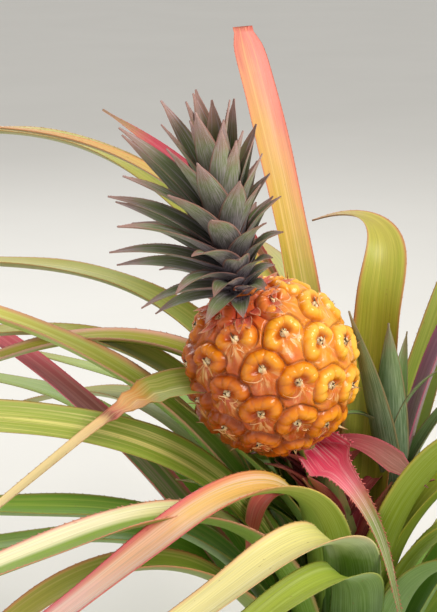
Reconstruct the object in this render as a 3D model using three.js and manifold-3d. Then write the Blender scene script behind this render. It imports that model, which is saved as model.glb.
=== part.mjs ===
// A pineapple plant: a short stem, a rosette of channelled leaves, and a fruit with its crown on a stalk.
// Millimetres, +Z up. The origin is the middle of the flat cut under the stem, at ground level.
// Azimuths are degrees from +X, turning towards +Y. The fruit leans towards -X and -Y.

import * as THREE from 'three';
import { mergeVertices } from 'three/addons/utils/BufferGeometryUtils.js';
import Module from 'manifold-3d';

const wasm = await Module();
wasm.setup();

// Driving dimensions

const CLEARANCE = 0.3;
const GOLDEN_ANGLE = 137.5;
const MERGE_WITHIN = 1e-4;

const STEM = {
  height: 150,
  footRadius: 34,
  flareHeight: 18,
  neckRadius: 25,
  bellyRadius: 27,
  bellyHeight: 58,
  topRadius: 10,
  sides: 18,
  steps: 12,
};

const FRUIT = {
  centre: new THREE.Vector3(-55, -20, 307),
  axis: new THREE.Vector3(-0.36, -0.31, 0.88).normalize(),
  radius: 53,
  halfHeight: 55,
  fruitlets: 56,
  firstAzimuth: 62,
  relief: 3.5,
  around: 38,
  along: 19,
};

const STALK = { radius: 9, steps: 8, quarterSides: 3, lowerPull: 40, upperPull: 35 };

// The crown's leaves are longer towards the long side, where they spread, and shorter opposite it, where
// they gather upwards. Their length and width follow half a sine wave, from the share fullFrom of it at
// the outside to fullTo at the heart.
const CROWN = {
  lean: new THREE.Vector3(-0.15, -0.28, 0.94).normalize(),
  leaves: 28,
  coreHeight: 66,
  coreRadius: 13,
  coreSides: 8,
  seatSink: 2,
  lowestRise: 20,
  highestRise: 86,
  riseCurve: 0.8,
  outerFall: 44,
  innerFall: 4,
  longest: 78,
  shortest: 16,
  fullFrom: 0.03,
  fullTo: 0.6,
  widest: 20,
  narrowest: 11,
  thickening: 1.6,
  lowestRoot: 3,
  highestRoot: 0.86,
  rootReach: 0.6,
  longSide: 190,
  gather: 20,
  shrink: 0.6,
  bend: 0.6,
  span: 0.9,
  stations: 4,
};

// A leaf is thickest along its midrib, by this share of its length. A grown leaf, which others are cut
// clear of, runs on past its sharp margins by this many times its growth.
const BLADE = {
  thickness: 0.0105,
  tipThickness: 0.55,
  baseGutter: 0.5,
  tipGutter: 0.2,
  baseWidth: 0.82,
  stations: 12,
  footStations: 9,
  tipStations: 10,
  pathSteps: 96,
  rootSink: 3,
  growth: 0.6,
  marginGrowth: 6,
};

// How a blade narrows beyond its widest place: a low power gives a long thin tail, a high one a blunt tip.
const TAPER = {
  leaf: 1.9,
  crown: 2.2,
  bract: 0.8,
  bract_front_pink: 0.22,
  tall_orange: 50,
  hooked_back: 3.4,
};

// The share of its length where a blade is widest.
const FULL_WIDTH_AT = { leaf: 0.22, bract_front_pink: 0.13 };

// The least share of its full width that a blade narrows to. One leaf has lost its point.
const TIP_WIDTH = { leaf: 0.06, tall_orange: 0.6 };

// A tilted leaf is turned about its own length by this angle.
const TILT = {
  pink_tip_back: -50,
  purple_right: -22,
  striped_left: -24,
  folded_left: -16,
  bract_right_pink: 35,
  bract_front_pink: 40,
};

// A leaf that turns further than this would hold a wide gap, so it is two solids that meet at the bend.
const SPLIT_TURN = 88;
const SPLIT_GAP = 0.4;

// One leaf is folded and dry from the middle on, where only a narrow strip of it is left.
const WITHERED = { leaf: 'folded_left', from: 0.49, to: 0.57, width: 0.36 };

// The rosette, from the lowest leaves up. Each leaf stands on the stem at its azimuth and root height,
// sets out at its rise, turns down by its fall round its bend (a share of its length, over its span),
// and swings sideways as it turns.
// name, azimuth, root, rise, fall, bend, span, swing, length, width
const LEAVES = [
  ['low_right', 4, 24, 44, 60, 0.45, 0.8, 0, 470, 34],
  ['low_back_right', 56, 27, 46, 66, 0.45, 0.8, 0, 480, 34],
  ['low_front', 290, 28, 46, 70, 0.45, 0.8, 0, 450, 34],
  ['shade_front_left', 234, 32, 50, 76, 0.38, 0.8, 0, 430, 34],
  ['shade_left', 168, 34, 70, 78, 0.3, 0.5, 10, 480, 34],
  ['low_right_back', 28, 42, 54, 66, 0.42, 0.8, 0, 520, 34],
  ['drooping_left', 204, 44, 66, 100, 0.36, 0.5, -4, 500, 34],
  ['low_left_back', 140, 46, 56, 62, 0.42, 0.8, 0, 520, 34],
  ['front_low_arch', 270, 42, 80, 112, 0.36, 0.34, -66, 440, 34],
  ['low_back', 130, 48, 76, 80, 0.36, 0.8, 0, 480, 34],
  ['back_open', 84, 50, 52, 70, 0.42, 0.8, 0, 540, 34],
  ['pale_left', 214, 58, 77, 87, 0.28, 0.4, -6, 600, 34],
  ['front_yellow', 264, 58, 82, 108, 0.31, 0.3, -56, 520, 38],
  ['pink_far_left', 158, 58, 54, 34, 0.45, 0.8, 0, 560, 32],
  ['spiny_right', 314, 60, 80, 84, 0.26, 0.34, 0, 500, 34],
  ['green_left', 186, 64, 67, 62, 0.23, 0.36, 4, 600, 34],
  ['back_left_open', 130, 66, 64, 86, 0.35, 0.8, 0, 560, 34],
  ['right_middle', 12, 68, 70, 70, 0.36, 0.8, 0, 560, 34],
  ['front_pink', 237, 72, 82, 112, 0.32, 0.32, -33, 560, 36],
  ['striped_left', 195, 76, 75, 66, 0.28, 0.5, -4, 600, 36],
  ['right_low', 338, 80, 83, 66, 0.2, 0.3, 0, 540, 34],
  ['back_middle', 98, 80, 61, 66, 0.42, 0.8, 0, 570, 34],
  ['back_left_arch', 160, 84, 72, 86, 0.42, 0.6, 8, 560, 32],
  ['purple_right', 34, 88, 81, 50, 0.44, 0.6, -4, 560, 24],
  ['under_fruit', 170, 90, 79, 68, 0.3, 0.84, 8, 600, 34],
  ['olive_left', 144, 92, 77, 80, 0.38, 0.6, 10, 600, 32],
  ['right_upper', 354, 96, 84, 56, 0.2, 0.34, 0, 560, 34],
  ['olive_right', 51, 98, 72, 42, 0.48, 0.8, -4, 560, 30],
  ['folded_left', 202, 102, 84, 120, 0.39, 0.46, -4, 536, 30],
  ['right_front_green', 314, 104, 84, 56, 0.24, 0.5, 0, 560, 36],
  ['back_upper', 94, 106, 55, 78, 0.4, 0.8, 0, 560, 32],
  ['arch_left', 150, 110, 80, 98, 0.355, 0.6, 34, 560, 30],
  ['olive_top_left', 136, 114, 75, 84, 0.48, 0.76, 12, 640, 32],
  ['pink_tip_back', 124, 118, 74, 54, 0.6, 0.8, 16, 425, 28],
  ['long_tip_left', 144, 122, 83, 87, 0.61, 1.0, 30, 475, 28],
  ['tall_orange', 127, 126, 79, 13, 0.6, 0.8, 0, 396, 27],
  ['hooked_back', 54, 130, 85, 106, 0.82, 0.4, 120, 312, 38],
];

// Bracts on the fruit's stalk, by the same rule; their root is a share of the stalk's length.
const BRACT = { rootSink: 2, stations: 9, thickening: 1.5 };
const BRACTS = [
  ['bract_left_hanging', 196, 0.34, 44, 118, 0.5, 0.5, 44, 114, 34],
  ['bract_right_pink', 332, 0.96, 8, 36, 0.4, 0.5, 0, 84, 17],
  ['bract_front_pink', 310, 0.93, -22, 52, 0.3, 0.6, 16, 174, 34],
];

// A side shoot from the upper stem. It is straight, and its leaves are fused to it.
const SUCKER = {
  azimuth: 18,
  rootRadius: 25,
  bottom: 92,
  height: 158,
  footRadius: 8,
  topRadius: 4,
  sides: 8,
  stations: 5,
  bend: 0.6,
  span: 0.8,
  thickening: 1.5,
};

// azimuth, root as a share of the shoot's height, rise, fall, length, width
const SUCKER_LEAVES = [
  [222, 0.74, 76, 8, 140, 24],
  [255, 0.8, 84, 10, 116, 24],
  [12, 0.7, 64, 24, 116, 18],
  [310, 0.62, 70, 50, 80, 15],
  [75, 0.66, 74, 30, 126, 18],
  [205, 0.9, 70, 84, 66, 12],
  [345, 0.92, 78, 40, 74, 12],
];

const FINISHES = {
  stem: { color: 0x7d6b45, roughness: 0.9 },
  stalk: { color: 0x8a7a4a, roughness: 0.8 },
  leaf: { color: 0x7f8c3a, roughness: 0.6 },
  fruit: { color: 0xd0821e, roughness: 0.45 },
  crown: { color: 0x8a8f6c, roughness: 0.6 },
  bract: { color: 0xc9706a, roughness: 0.6 },
  sucker: { color: 0x7b8f66, roughness: 0.6 },
};

// Solids

const radians = THREE.MathUtils.degToRad;
const lerp = THREE.MathUtils.lerp;

// A point at this azimuth and distance from the Z axis, and at this height.
function around(azimuth, distance, height) {
  const turn = radians(azimuth);
  return new THREE.Vector3(distance * Math.cos(turn), distance * Math.sin(turn), height);
}

function smooth(x) {
  const t = THREE.MathUtils.clamp(x, 0, 1);
  return t * t * (3 - 2 * t);
}

function solidFrom(geometry) {
  const bare = geometry.clone();
  bare.deleteAttribute('normal');
  bare.deleteAttribute('uv');
  const merged = mergeVertices(bare, MERGE_WITHIN);
  return new wasm.Manifold(new wasm.Mesh({
    numProp: 3,
    vertProperties: new Float32Array(merged.attributes.position.array),
    triVerts: new Uint32Array(merged.index.array),
  }));
}

function geometryFrom(solid) {
  const mesh = solid.getMesh();
  const geometry = new THREE.BufferGeometry();
  geometry.setAttribute('position', new THREE.BufferAttribute(mesh.vertProperties, 3));
  geometry.setIndex(new THREE.BufferAttribute(mesh.triVerts, 1));
  geometry.computeVertexNormals();
  return geometry;
}

function largestBody(solid) {
  const bodies = solid.decompose();
  return bodies.reduce((best, body) => (body.volume() > best.volume() ? body : best));
}

function boxesMeet(one, other) {
  const a = one.boundingBox();
  const b = other.boundingBox();
  return [0, 1, 2].every((axis) => a.min[axis] <= b.max[axis] && b.min[axis] <= a.max[axis]);
}

// Stem

function stemRadius(height) {
  if (height < STEM.flareHeight) {
    return lerp(STEM.footRadius, STEM.neckRadius, smooth(height / STEM.flareHeight));
  }
  if (height < STEM.bellyHeight) {
    const share = (height - STEM.flareHeight) / (STEM.bellyHeight - STEM.flareHeight);
    return lerp(STEM.neckRadius, STEM.bellyRadius, smooth(share));
  }
  const share = (height - STEM.bellyHeight) / (STEM.height - STEM.bellyHeight);
  return lerp(STEM.bellyRadius, STEM.topRadius, share);
}

function stemSolid(grow = 0) {
  const profile = [new THREE.Vector2(0, -grow), new THREE.Vector2(STEM.footRadius + grow, -grow)];
  for (let i = 1; i < STEM.steps; i += 1) {
    const height = (STEM.height * i) / STEM.steps;
    profile.push(new THREE.Vector2(stemRadius(height) + grow, height));
  }
  profile.push(new THREE.Vector2(STEM.topRadius + grow, STEM.height + grow));
  profile.push(new THREE.Vector2(0, STEM.height + grow));
  const geometry = new THREE.LatheGeometry(profile, STEM.sides);
  geometry.rotateX(Math.PI / 2);
  return solidFrom(geometry);
}

// Leaves

function leafPath([azimuth, rise, fall, bend, span, swing, length], root, tilt = 0) {
  const places = [];
  const point = root.clone();
  for (let i = 0; i <= BLADE.pathSteps; i += 1) {
    const share = i / BLADE.pathSteps;
    const turn = smooth((share - bend) / span + 0.5);
    const elevation = radians(rise - fall * turn);
    const heading = radians(azimuth + swing * turn);
    const along = new THREE.Vector3(
      Math.cos(elevation) * Math.cos(heading),
      Math.cos(elevation) * Math.sin(heading),
      Math.sin(elevation),
    );
    const side = new THREE.Vector3(-Math.sin(heading), Math.cos(heading), 0);
    side.applyAxisAngle(along, radians(tilt));
    const up = new THREE.Vector3().crossVectors(along, side);
    places.push({ share, point: point.clone(), along, side, up });
    point.addScaledVector(along, length / BLADE.pathSteps);
  }
  return places;
}

function stationsAlong(path, count, from = 0, to = 1) {
  const stations = [];
  for (let i = 0; i < count; i += 1) {
    const share = lerp(from, to, i / (count - 1));
    const place = share * BLADE.pathSteps;
    const low = Math.min(Math.floor(place), BLADE.pathSteps - 1);
    const point = path[low].point.clone().lerp(path[low + 1].point, place - low);
    stations.push({ ...path[Math.round(place)], share, point });
  }
  return stations;
}

// The named values that shape a blade's outline, for the leaf of this name or else its kind.
function outlineOf(name, kind = 'leaf') {
  return {
    taper: TAPER[name] ?? TAPER[kind],
    fullAt: FULL_WIDTH_AT[name] ?? FULL_WIDTH_AT.leaf,
    tipWidth: TIP_WIDTH[name] ?? TIP_WIDTH.leaf,
    withered: name === WITHERED.leaf,
  };
}

function bladeWidth(share, { taper, fullAt, tipWidth, withered }) {
  const dry = withered ? smooth((share - WITHERED.from) / (WITHERED.to - WITHERED.from)) : 0;
  const kept = lerp(1, WITHERED.width, dry);
  const base = lerp(BLADE.baseWidth, 1, smooth(share / fullAt));
  const beyond = Math.max(0, (share - fullAt) / (1 - fullAt));
  return Math.max(kept * base * (1 - beyond ** taper), tipWidth);
}

// Each section is a shallow channel: a margin, the channel's floor, the other margin and the keel below.
function bladeSolid(stations, blade, grow = 0) {
  const positions = [];
  for (const [i, { share, point: place, along, side, up }] of stations.entries()) {
    const lengthening = grow * (Number(i === stations.length - 1) - Number(i === 0));
    const point = place.clone().addScaledVector(along, lengthening);
    const half = (blade.width / 2) * bladeWidth(share, blade);
    const gutter = half * lerp(BLADE.baseGutter, BLADE.tipGutter, share);
    const keel = blade.thickness * lerp(1, BLADE.tipThickness, share);
    const out = half + grow * BLADE.marginGrowth;
    const slope = (gutter + keel / 2) / Math.max(half, keel);
    const height = gutter + grow * BLADE.marginGrowth * slope;
    const left = point.clone().addScaledVector(side, out).addScaledVector(up, height);
    const floor = point.clone().addScaledVector(up, grow);
    const right = point.clone().addScaledVector(side, -out).addScaledVector(up, height);
    const bottom = point.clone().addScaledVector(up, -keel - grow);
    for (const corner of [left, floor, right, bottom]) positions.push(corner.x, corner.y, corner.z);
  }
  const index = [0, 3, 1, 1, 3, 2];
  const last = stations.length - 1;
  for (let station = 0; station < last; station += 1) {
    for (let corner = 0; corner < 4; corner += 1) {
      const here = station * 4 + corner;
      const next = station * 4 + ((corner + 1) % 4);
      index.push(here, next, here + 4, next, next + 4, here + 4);
    }
  }
  const end = last * 4;
  index.push(end, end + 1, end + 3, end + 1, end + 2, end + 3);
  const geometry = new THREE.BufferGeometry();
  geometry.setAttribute('position', new THREE.Float32BufferAttribute(positions, 3));
  geometry.setIndex(index);
  return solidFrom(geometry);
}

// Fruit and stalk

function alignedTo(axis) {
  return new THREE.Quaternion().setFromUnitVectors(new THREE.Vector3(0, 0, 1), axis);
}

function fruitletCentres() {
  const centres = [];
  for (let k = 0; k < FRUIT.fruitlets; k += 1) {
    const level = 1 - (2 * k + 1) / FRUIT.fruitlets;
    const ring = Math.sqrt(1 - level * level);
    centres.push(around(FRUIT.firstAzimuth + GOLDEN_ANGLE * k, ring, level));
  }
  return centres;
}

// Each fruitlet covers an equal share of the sphere, and swells most at its centre.
function fruitSolid(grow = 0) {
  const centres = fruitletCentres();
  const reach = 2 / Math.sqrt(FRUIT.fruitlets);
  const geometry = new THREE.SphereGeometry(1, FRUIT.around, FRUIT.along);
  geometry.rotateX(Math.PI / 2);
  const place = geometry.attributes.position;
  const direction = new THREE.Vector3();
  for (let i = 0; i < place.count; i += 1) {
    direction.fromBufferAttribute(place, i).normalize();
    const nearest = Math.min(...centres.map((centre) => centre.distanceTo(direction)));
    const swell = FRUIT.relief * (0.5 - Math.min(1, (nearest / reach) ** 2)) + grow;
    place.setXYZ(
      i,
      direction.x * (FRUIT.radius + swell),
      direction.y * (FRUIT.radius + swell),
      direction.z * (FRUIT.halfHeight + swell),
    );
  }
  geometry.applyQuaternion(alignedTo(FRUIT.axis));
  geometry.translate(FRUIT.centre.x, FRUIT.centre.y, FRUIT.centre.z);
  return solidFrom(geometry);
}

const fruitReach = FRUIT.halfHeight + FRUIT.relief / 2;
const stalkFoot = new THREE.Vector3(0, 0, STEM.height + CLEARANCE);
const stalkHead = FRUIT.centre.clone().addScaledVector(FRUIT.axis, -fruitReach - CLEARANCE);
const stalkCurve = new THREE.CubicBezierCurve3(
  stalkFoot,
  stalkFoot.clone().add(new THREE.Vector3(0, 0, STALK.lowerPull)),
  stalkHead.clone().addScaledVector(FRUIT.axis, -STALK.upperPull),
  stalkHead,
);

function stalkSolid(grow = 0) {
  const section = new THREE.Shape();
  section.absarc(0, 0, STALK.radius + grow, 0, Math.PI * 2, false);
  return solidFrom(new THREE.ExtrudeGeometry(section, {
    steps: STALK.steps,
    curveSegments: STALK.quarterSides * 2,
    extrudePath: stalkCurve,
  }));
}

// Crown

function crownSolid() {
  const seat = FRUIT.centre.clone().addScaledVector(FRUIT.axis, FRUIT.halfHeight - CROWN.seatSink);
  const turn = alignedTo(CROWN.lean);
  const core = new THREE.ConeGeometry(CROWN.coreRadius, CROWN.coreHeight, CROWN.coreSides);
  core.rotateX(Math.PI / 2);
  core.translate(0, 0, CROWN.coreHeight / 2);
  core.applyQuaternion(turn);
  core.translate(seat.x, seat.y, seat.z);
  let crown = solidFrom(core);
  for (let k = 0; k < CROWN.leaves; k += 1) {
    const inner = k / (CROWN.leaves - 1);
    const azimuth = GOLDEN_ANGLE * k;
    const fullness = Math.sin(Math.PI * lerp(CROWN.fullFrom, CROWN.fullTo, inner));
    const away = -Math.cos(radians(azimuth - CROWN.longSide)) * (1 - inner);
    const steepness = inner ** CROWN.riseCurve;
    const rise = lerp(CROWN.lowestRise, CROWN.highestRise, steepness) + CROWN.gather * away;
    const fall = lerp(CROWN.outerFall, CROWN.innerFall, inner);
    const length = lerp(CROWN.shortest, CROWN.longest, fullness) * (1 - CROWN.shrink * away);
    const height = lerp(CROWN.lowestRoot, CROWN.coreHeight * CROWN.highestRoot, inner);
    const reach = CROWN.coreRadius * (1 - height / CROWN.coreHeight) * CROWN.rootReach;
    const root = around(azimuth, reach, height);
    const path = leafPath([azimuth, rise, fall, CROWN.bend, CROWN.span, 0, length], root);
    const stations = stationsAlong(path, CROWN.stations);
    for (const station of stations) {
      station.point.applyQuaternion(turn).add(seat);
      station.along = station.along.clone().applyQuaternion(turn);
      station.side = station.side.clone().applyQuaternion(turn);
      station.up = station.up.clone().applyQuaternion(turn);
    }
    const thickness = length * BLADE.thickness * CROWN.thickening;
    const width = lerp(CROWN.narrowest, CROWN.widest, fullness);
    crown = crown.add(bladeSolid(stations, { thickness, width, ...outlineOf('crown', 'crown') }));
  }
  return crown;
}

// Sucker

function suckerSolid(grow = 0) {
  const foot = around(SUCKER.azimuth, SUCKER.rootRadius, SUCKER.bottom);
  const shoot = new THREE.CylinderGeometry(
    SUCKER.topRadius + grow,
    SUCKER.footRadius + grow,
    SUCKER.height + 2 * grow,
    SUCKER.sides,
  );
  shoot.rotateX(Math.PI / 2);
  shoot.translate(foot.x, foot.y, foot.z + SUCKER.height / 2);
  let sucker = solidFrom(shoot);
  for (const [azimuth, share, rise, fall, length, width] of SUCKER_LEAVES) {
    const root = foot.clone().add(new THREE.Vector3(0, 0, share * SUCKER.height));
    const path = leafPath([azimuth, rise, fall, SUCKER.bend, SUCKER.span, 0, length], root);
    const stations = stationsAlong(path, SUCKER.stations);
    const thickness = length * BLADE.thickness * SUCKER.thickening;
    sucker = sucker.add(bladeSolid(stations, { thickness, width, ...outlineOf('sucker') }, grow));
  }
  return sucker;
}

// Plant. What is placed first keeps its shape, and what comes later is cut clear of it, as the leaves'
// sheaths are where they clasp the stem and each other.

const plant = new THREE.Group();
const taken = [];

function addPiece(name, solid, grown, finish) {
  let piece = solid;
  for (const other of taken) {
    if (boxesMeet(piece, other)) piece = piece.subtract(other);
  }
  piece = largestBody(piece);
  taken.push(grown);
  const material = new THREE.MeshStandardMaterial({ ...finish, metalness: 0 });
  const mesh = new THREE.Mesh(geometryFrom(piece), material);
  mesh.name = name;
  plant.add(mesh);
}

function addBlade(name, stations, blade, finish) {
  addPiece(name, bladeSolid(stations, blade), bladeSolid(stations, blade, BLADE.growth), finish);
}

addPiece('stem', stemSolid(), stemSolid(CLEARANCE), FINISHES.stem);
addPiece('fruit', fruitSolid(), fruitSolid(CLEARANCE), FINISHES.fruit);
addPiece('fruit_stalk', stalkSolid(), stalkSolid(CLEARANCE), FINISHES.stalk);
const crown = crownSolid();
addPiece('crown', crown, crown, FINISHES.crown);
addPiece('sucker', suckerSolid(), suckerSolid(BLADE.growth), FINISHES.sucker);

for (const [name, azimuth, share, rise, fall, bend, span, swing, length, width] of BRACTS) {
  const reach = STALK.radius - BRACT.rootSink;
  const root = stalkCurve.getPointAt(share).add(around(azimuth, reach, 0));
  const path = leafPath([azimuth, rise, fall, bend, span, swing, length], root, TILT[name]);
  const thickness = length * BLADE.thickness * BRACT.thickening;
  const blade = { thickness, width, ...outlineOf(name, 'bract') };
  addBlade(name, stationsAlong(path, BRACT.stations), blade, FINISHES.bract);
}

for (const [name, azimuth, height, rise, fall, bend, span, swing, length, width] of LEAVES) {
  const root = around(azimuth, stemRadius(height) - BLADE.rootSink, height);
  const path = leafPath([azimuth, rise, fall, bend, span, swing, length], root, TILT[name]);
  const blade = { thickness: length * BLADE.thickness, width, ...outlineOf(name) };
  if (fall < SPLIT_TURN) {
    addBlade(`leaf_${name}`, stationsAlong(path, BLADE.stations), blade, FINISHES.leaf);
  } else {
    const foot = stationsAlong(path, BLADE.footStations, 0, bend);
    const tip = stationsAlong(path, BLADE.tipStations, bend + SPLIT_GAP / length, 1);
    addBlade(`leaf_${name}_foot`, foot, blade, FINISHES.leaf);
    addBlade(`leaf_${name}_tip`, tip, blade, FINISHES.leaf);
  }
}

export default plant;
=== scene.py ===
"""A pineapple plant: the finished surfaces that go over its solids.

Lengths are in millimetres, in the solids' own axes, and turn into metres as each mesh is made.
Azimuths are degrees from +X, turning towards +Y. A share runs from 0 to 1.
"""

import math
from types import SimpleNamespace as Sizes

import bpy
import numpy as np
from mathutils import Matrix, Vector


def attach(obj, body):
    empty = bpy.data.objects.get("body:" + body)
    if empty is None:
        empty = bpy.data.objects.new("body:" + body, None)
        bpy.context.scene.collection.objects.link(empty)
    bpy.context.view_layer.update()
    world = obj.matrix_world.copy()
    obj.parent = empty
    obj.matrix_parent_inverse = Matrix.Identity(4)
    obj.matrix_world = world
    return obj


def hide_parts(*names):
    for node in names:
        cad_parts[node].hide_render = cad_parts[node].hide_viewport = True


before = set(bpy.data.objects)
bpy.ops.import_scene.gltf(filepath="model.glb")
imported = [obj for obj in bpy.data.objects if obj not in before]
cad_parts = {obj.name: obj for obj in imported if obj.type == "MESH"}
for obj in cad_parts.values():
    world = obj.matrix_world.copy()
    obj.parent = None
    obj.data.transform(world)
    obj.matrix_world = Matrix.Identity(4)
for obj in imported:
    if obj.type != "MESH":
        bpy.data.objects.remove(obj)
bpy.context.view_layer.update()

MM = 0.001
GOLDEN_ANGLE = 137.5
SEED = 20

# Sizes shared with the solids

STEM = Sizes(height=150, foot=34, flare=18, neck=25, belly=27, belly_at=58, top=10)
FRUIT = Sizes(centre=(-55, -20, 307), axis=(-0.36, -0.31, 0.88), radius=53, half_height=55, fruitlets=56,
              first_azimuth=62, relief=3.5)
STALK = Sizes(radius=9, lower_pull=40, upper_pull=35, gap=0.3)
CROWN = Sizes(lean=(-0.15, -0.28, 0.94), core_height=66, core_radius=13, seat_sink=2, lowest_rise=20,
              highest_rise=86, rise_curve=0.8, outer_fall=44, inner_fall=4, longest=78, shortest=16,
              full_from=0.03, full_to=0.6, widest=20, narrowest=11, lowest_root=3, highest_root=0.86,
              root_reach=0.6, long_side=190, gather=20, shrink=0.6, bend=0.6, span=0.9)
BLADE = Sizes(thickness=0.0105, tip_thickness=0.55, base_gutter=0.5, tip_gutter=0.2, base_width=0.82,
              root_sink=3)
TAPER = dict(leaf=1.9, crown=2.2, bract=0.8, bract_front_pink=0.22, tall_orange=50, hooked_back=3.4)
FULL_WIDTH_AT = dict(leaf=0.22, bract_front_pink=0.13)
TIP_WIDTH = dict(leaf=0.06, tall_orange=0.6)
TILT = dict(pink_tip_back=-50, purple_right=-22, striped_left=-24, folded_left=-16, bract_right_pink=35,
            bract_front_pink=40)
WITHERED = Sizes(leaf="folded_left", start=0.49, end=0.57, width=0.36)
SPLIT_TURN = 88

# The rosette: name, azimuth, root, rise, fall, bend, span, swing, length, width, look, spine
LEAVES = [
    ("low_right", 4, 24, 44, 60, 0.45, 0.8, 0, 470, 34, "green", 1.3),
    ("low_back_right", 56, 27, 46, 66, 0.45, 0.8, 0, 480, 34, "green", 1.3),
    ("low_front", 290, 28, 46, 70, 0.45, 0.8, 0, 450, 34, "green", 1.3),
    ("shade_front_left", 234, 32, 50, 76, 0.38, 0.8, 0, 430, 34, "green", 1.3),
    ("shade_left", 168, 34, 70, 78, 0.3, 0.5, 10, 480, 34, "green", 1.3),
    ("low_right_back", 28, 42, 54, 66, 0.42, 0.8, 0, 520, 34, "olive", 1.3),
    ("drooping_left", 204, 44, 66, 100, 0.36, 0.5, -4, 500, 34, "tan", 1.3),
    ("low_left_back", 140, 46, 56, 62, 0.42, 0.8, 0, 520, 34, "green", 1.3),
    ("front_low_arch", 270, 42, 80, 112, 0.36, 0.34, -66, 440, 34, "arch", 1.1),
    ("low_back", 130, 48, 76, 80, 0.36, 0.8, 0, 480, 34, "green", 1.3),
    ("back_open", 84, 50, 52, 70, 0.42, 0.8, 0, 540, 34, "olive", 1.3),
    ("pale_left", 214, 58, 77, 87, 0.28, 0.4, -6, 600, 34, "cream", 2.2),
    ("front_yellow", 264, 58, 82, 108, 0.31, 0.3, -56, 520, 38, "yellow", 1.3),
    ("pink_far_left", 158, 58, 54, 34, 0.45, 0.8, 0, 560, 32, "far_pink", 1.2),
    ("spiny_right", 314, 60, 80, 84, 0.26, 0.34, 0, 500, 34, "green", 2.4),
    ("green_left", 186, 64, 67, 62, 0.23, 0.36, 4, 600, 34, "green", 1.2),
    ("back_left_open", 130, 66, 64, 86, 0.35, 0.8, 0, 560, 34, "olive", 1.3),
    ("right_middle", 12, 68, 70, 70, 0.36, 0.8, 0, 560, 34, "green", 1.3),
    ("front_pink", 237, 72, 82, 112, 0.32, 0.32, -33, 560, 36, "blush", 1.5),
    ("striped_left", 195, 76, 75, 66, 0.28, 0.5, -4, 600, 36, "striped", 1.1),
    ("right_low", 338, 80, 83, 66, 0.2, 0.3, 0, 540, 34, "bright", 1.3),
    ("back_middle", 98, 80, 61, 66, 0.42, 0.8, 0, 570, 34, "olive", 1.3),
    ("back_left_arch", 160, 84, 72, 86, 0.42, 0.6, 8, 560, 32, "olive", 1.2),
    ("purple_right", 34, 88, 81, 50, 0.44, 0.6, -4, 560, 24, "purple", 1.3),
    ("under_fruit", 170, 90, 79, 68, 0.3, 0.84, 8, 600, 34, "fresh", 1.1),
    ("olive_left", 144, 92, 77, 80, 0.38, 0.6, 10, 600, 32, "olive", 1.2),
    ("right_upper", 354, 96, 84, 56, 0.2, 0.34, 0, 560, 34, "bright", 1.3),
    ("olive_right", 51, 98, 72, 42, 0.48, 0.8, -4, 560, 30, "olive", 1.3),
    ("folded_left", 202, 102, 84, 120, 0.39, 0.46, -4, 536, 30, "folded", 1.5),
    ("right_front_green", 314, 104, 84, 56, 0.24, 0.5, 0, 560, 36, "bright", 1.3),
    ("back_upper", 94, 106, 55, 78, 0.4, 0.8, 0, 560, 32, "olive", 1.3),
    ("arch_left", 150, 110, 80, 98, 0.355, 0.6, 34, 560, 30, "rosy", 1.8),
    ("olive_top_left", 136, 114, 75, 84, 0.48, 0.76, 12, 640, 32, "olive", 1.2),
    ("pink_tip_back", 124, 118, 74, 54, 0.6, 0.8, 16, 425, 28, "pink", 1.2),
    ("long_tip_left", 144, 122, 83, 87, 0.61, 1.0, 30, 475, 28, "tan", 1.2),
    ("tall_orange", 127, 126, 79, 13, 0.6, 0.8, 0, 396, 27, "orange", 1.1),
    ("hooked_back", 54, 130, 85, 106, 0.82, 0.4, 120, 312, 38, "gold", 1.1),
]
# name, azimuth, root as a share of the stalk, rise, fall, bend, span, swing, length, width, spine, look
BRACTS = [
    ("bract_left_hanging", 196, 0.34, 44, 118, 0.5, 0.5, 44, 114, 34, 1.2, "hanging_bract"),
    ("bract_right_pink", 332, 0.96, 8, 36, 0.4, 0.5, 0, 84, 17, 1.0, "right_bract"),
    ("bract_front_pink", 310, 0.93, -22, 52, 0.3, 0.6, 16, 174, 34, 2.3, "bract"),
]
SUCKER = Sizes(azimuth=18, root_radius=25, bottom=92, height=158, foot=8, top=4, bend=0.6, span=0.8)
# azimuth, root as a share of the shoot's height, rise, fall, length, width
SUCKER_LEAVES = [
    (222, 0.74, 76, 8, 140, 24),
    (255, 0.8, 84, 10, 116, 24),
    (12, 0.7, 64, 24, 116, 18),
    (310, 0.62, 70, 50, 80, 15),
    (75, 0.66, 74, 30, 126, 18),
    (205, 0.9, 70, 84, 66, 12),
    (345, 0.92, 78, 40, 74, 12),
]

# Finer detail of the blades

PATH_STEPS = 96
VISIBLE_THICKNESS = 0.4
# Two blades are narrower at the foot than their solids: one grows through the fruit, one from under it.
NARROW_FOOT = dict(folded_left=dict(width=0.24, start=0.28, full_at=0.36),
                   bract_right_pink=dict(width=0.3, start=0, full_at=0.7))
SECTION = Sizes(points=11, gutter_power=1.6, edge_power=3, rib=0.25, rib_waves=9, under_power=0.6)
# Ripples run along both margins. Their height is given for a blade of this half width.
RIPPLE = Sizes(short=17, long=41, long_share=0.6, starts_within=0.25, half_width=17)
CRUMPLE = Sizes(start=0.48, end=0.57, fade=0.02, height=1.3, pitch=2.2, slant=2.6)
# Teeth stand between two shares of the length. A tooth has three points on the margin and one out ahead.
TEETH = Sizes(first=0.05, last=0.98, covered=0.93, farthest=0.985, jitter=0.35, least=4, spacing=4.6)
TOOTH = Sizes(size=(0.6, 1.15), at_tip=0.6, sink=0.35, back=0.5, front=0.42, crest=0.3, crest_back=0.1,
              out=0.72, ahead=0.62, rise=0.2)

# Finer detail of the fruit

FRUIT_AROUND = 400
FRUIT_ALONG = 236
NEIGHBOURS = 6
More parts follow.
